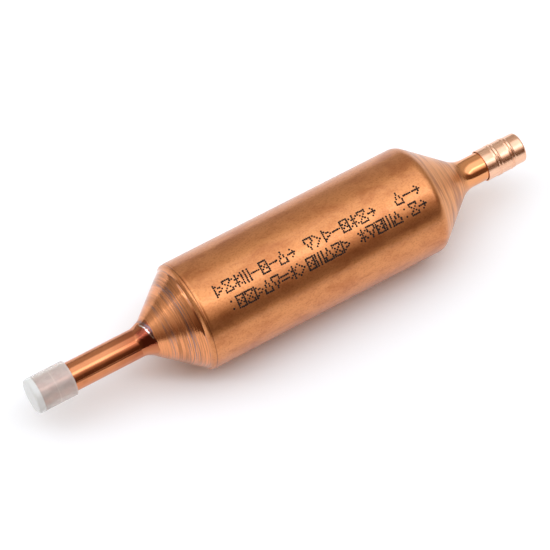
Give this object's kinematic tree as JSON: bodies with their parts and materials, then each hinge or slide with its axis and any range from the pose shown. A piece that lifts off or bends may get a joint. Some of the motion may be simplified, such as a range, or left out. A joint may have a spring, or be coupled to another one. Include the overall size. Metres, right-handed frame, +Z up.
{
  "type": "filter drier",
  "caption": "Spun copper filter drier: round barrel with two cones, a stub tube with a plastic dust cap at one end and a capped neck at the other.",
  "frame": {"origin": "middle of the barrel on its axis", "axes": "+X along the flow towards the outlet neck and its copper cap, +Z up"},
  "size_m": [0.1185, 0.024, 0.024],
  "materials": {
    "spun_copper": "satin orange-brown copper, spun",
    "tube_copper": "polished drawn copper",
    "braze_alloy": "glossy copper-silver braze",
    "milky_polyethylene": "translucent milky polyethylene",
    "cap_copper": "pale bright copper",
    "pressed_brass": "pressed",
    "steel_gauze": "woven wire",
    "molecular_sieve": "matt beads"
  },
  "bodies": {
    "drier": {"shell": "spun_copper", "inlet_tube": "tube_copper", "inlet_braze": "braze_alloy", "inlet_plate": "pressed_brass", "inlet_gauze": "steel_gauze", "inlet_ring": "pressed_brass", "outlet_gauze": "steel_gauze", "outlet_ring": "pressed_brass", "desiccant_bed": "molecular_sieve"},
    "inlet_cap": {"inlet_cap": "milky_polyethylene"},
    "outlet_cap": {"outlet_cap": "cap_copper"}
  },
  "joints": [
    {"name": "inlet_cap_pull", "type": "slide", "parent": "drier", "child": "inlet_cap", "axis": [-1, 0, 0], "range_m": [0, 0.03]},
    {"name": "outlet_cap_pull", "type": "slide", "parent": "drier", "child": "outlet_cap", "axis": [1, 0, 0], "range_m": [0, 0.03]}
  ]
}
